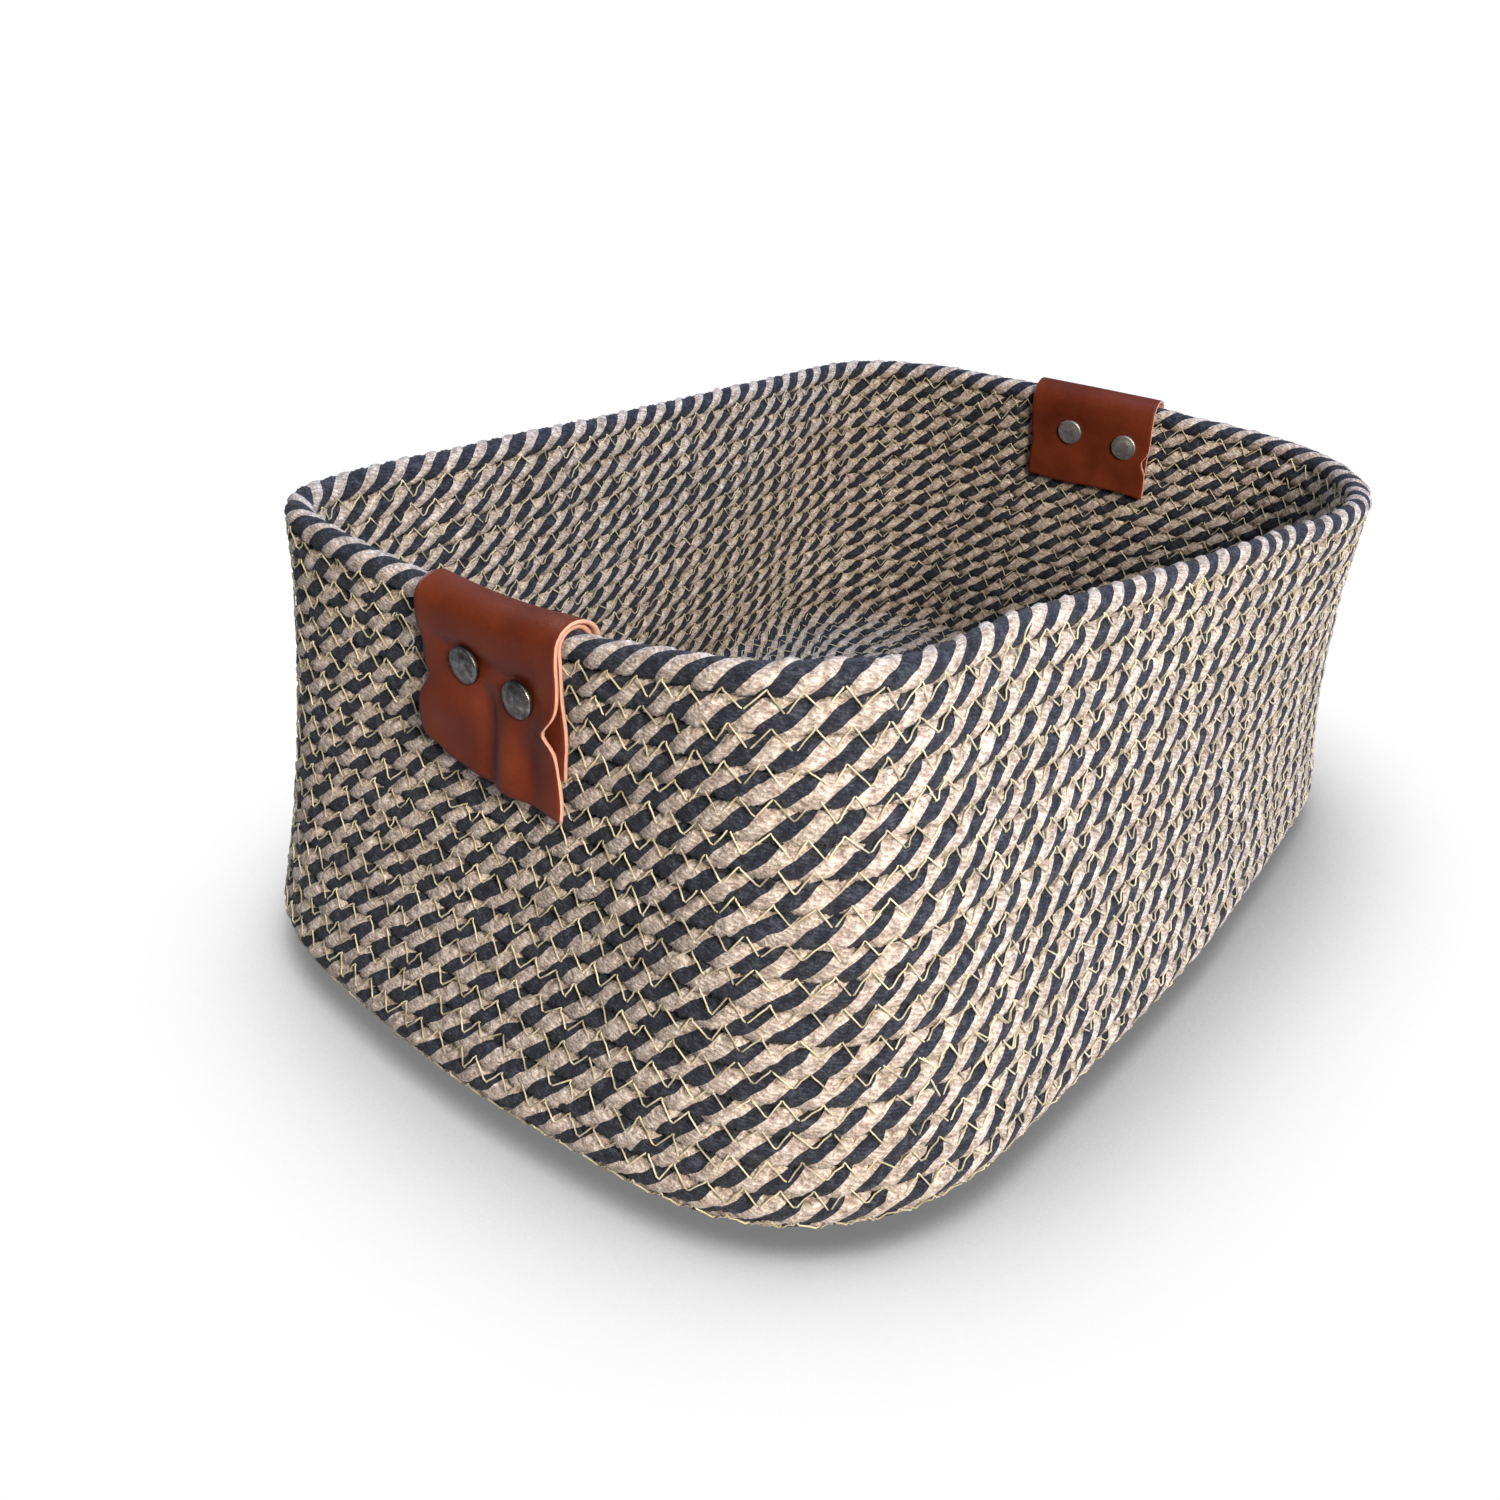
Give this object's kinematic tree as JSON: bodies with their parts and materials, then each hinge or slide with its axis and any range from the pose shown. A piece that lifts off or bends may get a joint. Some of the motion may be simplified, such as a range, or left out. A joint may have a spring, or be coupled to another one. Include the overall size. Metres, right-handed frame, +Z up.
{
  "type": "storage basket",
  "caption": "Open-topped oblong storage basket of coiled two-tone rope, with a riveted leather grip folded over the rim at each short end.",
  "frame": {"origin": "on the floor under the middle of the whole basket", "axes": "+X along the basket, through both grips, +Z up"},
  "size_m": [0.4244, 0.3136, 0.1671],
  "materials": {
    "rope": "two-strand rope, natural tan and charcoal navy, sewn with cream thread",
    "strap_leather": "smooth cognac leather with pale raw edges",
    "lining_leather": "cognac leather with pale raw edges",
    "rivet_metal": "aged nickel, satin"
  },
  "bodies": {
    "root": {"base_coil": "rope", "wall_coil": "rope", "rim_coil": "rope", "right_grip_lining": "lining_leather", "right_grip_strap": "strap_leather", "right_grip_rivet_1_post": "rivet_metal", "right_grip_rivet_1_socket": "rivet_metal", "right_grip_rivet_2_post": "rivet_metal", "right_grip_rivet_2_socket": "rivet_metal", "left_grip_lining": "lining_leather", "left_grip_strap": "strap_leather", "left_grip_rivet_1_post": "rivet_metal", "left_grip_rivet_1_socket": "rivet_metal", "left_grip_rivet_2_post": "rivet_metal", "left_grip_rivet_2_socket": "rivet_metal"}
  },
  "joints": []
}
